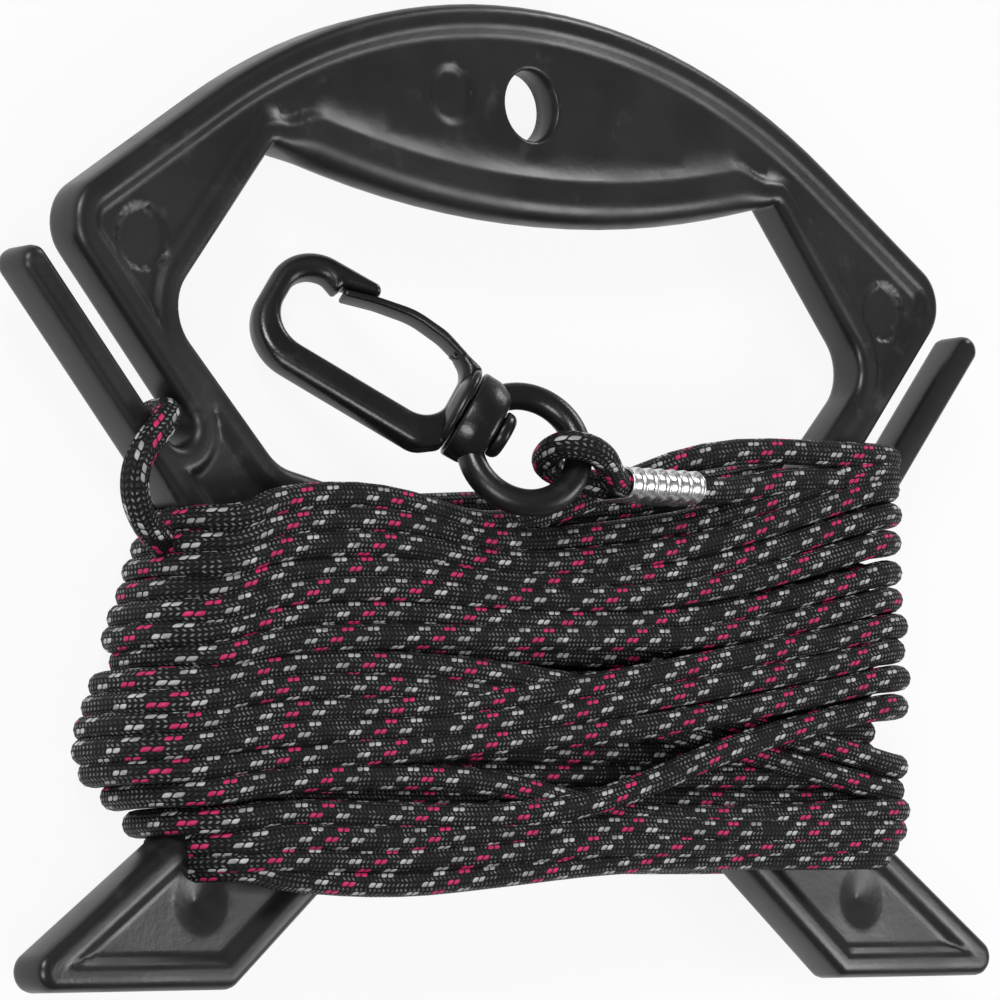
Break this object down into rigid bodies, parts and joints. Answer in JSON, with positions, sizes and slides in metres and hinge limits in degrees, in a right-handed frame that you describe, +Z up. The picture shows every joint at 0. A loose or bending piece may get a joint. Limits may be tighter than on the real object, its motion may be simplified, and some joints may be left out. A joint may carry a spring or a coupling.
{
  "type": "kite line winder",
  "caption": "Hand winder with a grip bar, horns and splayed feet, wound with braided cord that ends in a ferrule and a swivel snap hook",
  "frame": {"origin": "On the surface that the winder lies on, under the middle of the bounding box of the frame and the winding. The underside of the winding is at Z = 0.", "axes": "+X along the width across the feet, to the right; +Y from the feet to the grip; +Z up through the frame's thickness, with the winder lying flat."},
  "size_m": [0.2016, 0.15, 0.0347],
  "materials": {
    "frame_plastic": "moulded black, satin",
    "braided_cord": "black braid with light grey and magenta flecks",
    "ferrule_metal": "bright, crimped",
    "hook_plastic": "moulded black, glossy edges"
  },
  "bodies": {
    "winder": {"winder_frame": "frame_plastic", "rope_winding": "braided_cord", "rope_start_loop": "braided_cord", "rope_lead": "braided_cord", "rope_eye": "braided_cord", "crimp_ferrule": "ferrule_metal"},
    "eye": {"swivel_eye": "hook_plastic"},
    "hook": {"snap_hook": "hook_plastic"},
    "gate": {"snap_gate": "hook_plastic"}
  },
  "joints": [
    {"name": "eye_swing", "type": "hinge", "parent": "winder", "child": "eye", "pos_m": [-0.00517, 0.00351, 0.0282], "axis": [0.2788, 0.9421, -0.1863], "range_deg": [0, 50]},
    {"name": "hook_turn", "type": "hinge", "parent": "eye", "child": "hook", "pos_m": [-0.0128, 0.005, 0.0243], "axis": [-0.7032, 0.5191, -0.4858], "continuous": true},
    {"name": "gate_flex", "type": "hinge", "parent": "hook", "child": "gate", "pos_m": [-0.01959, 0.01846, 0.01682], "axis": [-0.3909, 0.2885, 0.8741], "range_deg": [0, 22], "stiffness_Nm_per_rad": 0.2}
  ]
}
